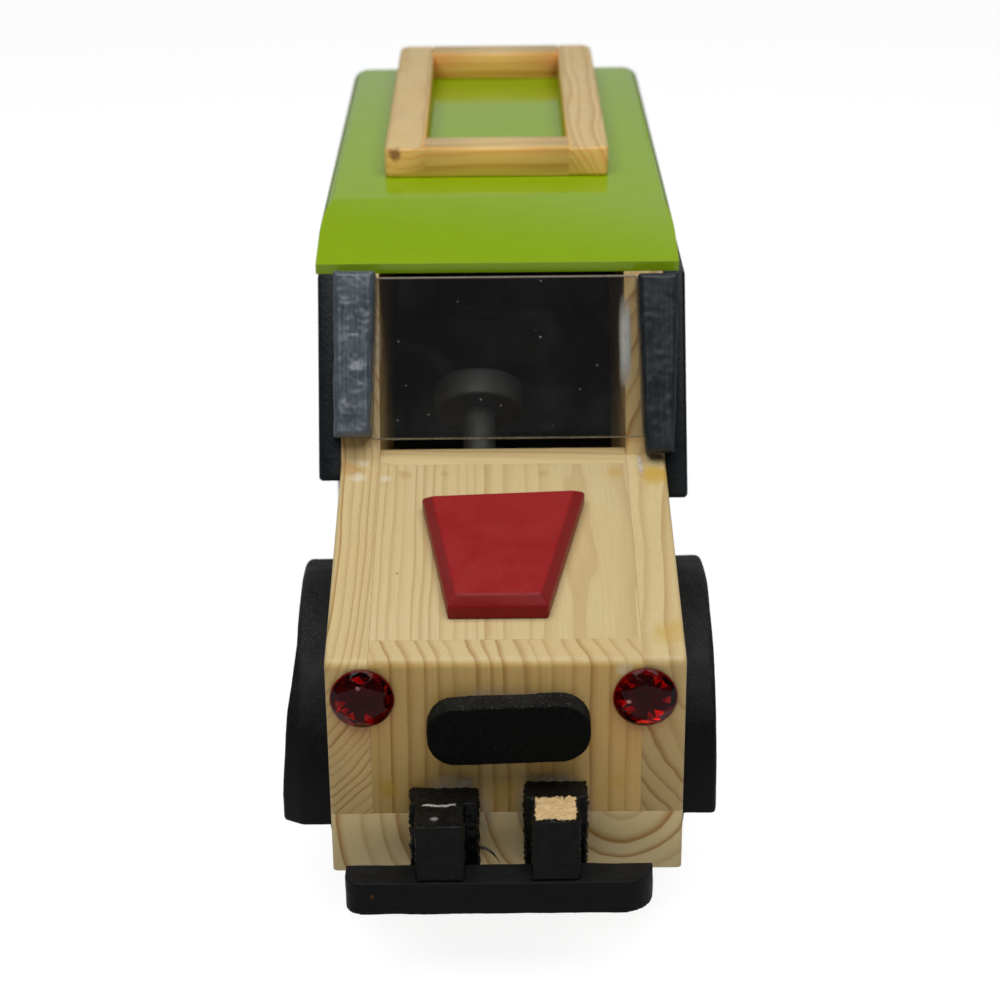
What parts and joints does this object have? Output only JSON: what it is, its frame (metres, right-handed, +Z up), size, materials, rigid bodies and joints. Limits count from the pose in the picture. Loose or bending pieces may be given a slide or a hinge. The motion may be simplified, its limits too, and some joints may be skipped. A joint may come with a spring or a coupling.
{
  "type": "toy off-road wagon",
  "caption": "Wooden push-along toy off-road wagon with a roof rack, clear windshield, gem headlights, front bumper and wheels turning on dowel axles under arched fenders.",
  "frame": {"origin": "bottom centre of the whole toy's box, on the ground under the wheels", "axes": "-Y is the driving direction, +Z is up, +X is the wagon's own left side"},
  "size_m": [0.1314, 0.3682, 0.1893],
  "materials": {
    "pine": "sanded and thinly varnished pine, satin",
    "green_paint": "gloss lime-green paint on wood",
    "red_paint": "satin red paint on wood",
    "black_paint": "brushed black gloss paint on wood, dusty",
    "black_wheel": "satin black paint on a turned wooden disc",
    "dowel": "bare hardwood dowel",
    "clear_acrylic": "clear polished acrylic sheet",
    "red_gem": "faceted foil-backed craft gem"
  },
  "bodies": {
    "wagon": {"bench_seat": "black_paint", "bumper_bar": "black_paint", "bumper_bracket_left": "black_paint", "bumper_bracket_right": "black_paint", "cab_partition": "black_paint", "cowl_strip": "pine", "dashboard": "black_paint", "fender_front_left": "black_paint", "fender_front_right": "black_paint", "fender_rear_left": "black_paint", "fender_rear_right": "black_paint", "floor_board": "pine", "front_panel": "pine", "grille": "black_paint", "headlight_left": "red_gem", "headlight_right": "red_gem", "hood_panel": "pine", "hood_scoop": "red_paint", "pillar_left": "black_paint", "pillar_right": "black_paint", "rack_rail_front": "pine", "rack_rail_left": "pine", "rack_rail_rear": "pine", "rack_rail_right": "pine", "rear_panel": "pine", "roof": "green_paint", "side_plank_left": "pine", "side_plank_right": "pine", "steering_column": "black_paint", "steering_wheel": "black_paint", "window_band_left": "black_paint", "window_band_rear": "black_paint", "window_band_right": "black_paint", "windshield": "clear_acrylic"},
    "front_axle_set": {"front_axle": "dowel", "wheel_front_left": "black_wheel", "wheel_front_right": "black_wheel"},
    "rear_axle_set": {"rear_axle": "dowel", "wheel_rear_left": "black_wheel", "wheel_rear_right": "black_wheel"}
  },
  "joints": [
    {"name": "front_axle_spin", "type": "hinge", "parent": "wagon", "child": "front_axle_set", "pos_m": [0, -0.09185, 0.036], "axis": [1, 0, 0], "continuous": true},
    {"name": "rear_axle_spin", "type": "hinge", "parent": "wagon", "child": "rear_axle_set", "pos_m": [0, 0.10815, 0.036], "axis": [1, 0, 0], "continuous": true}
  ]
}
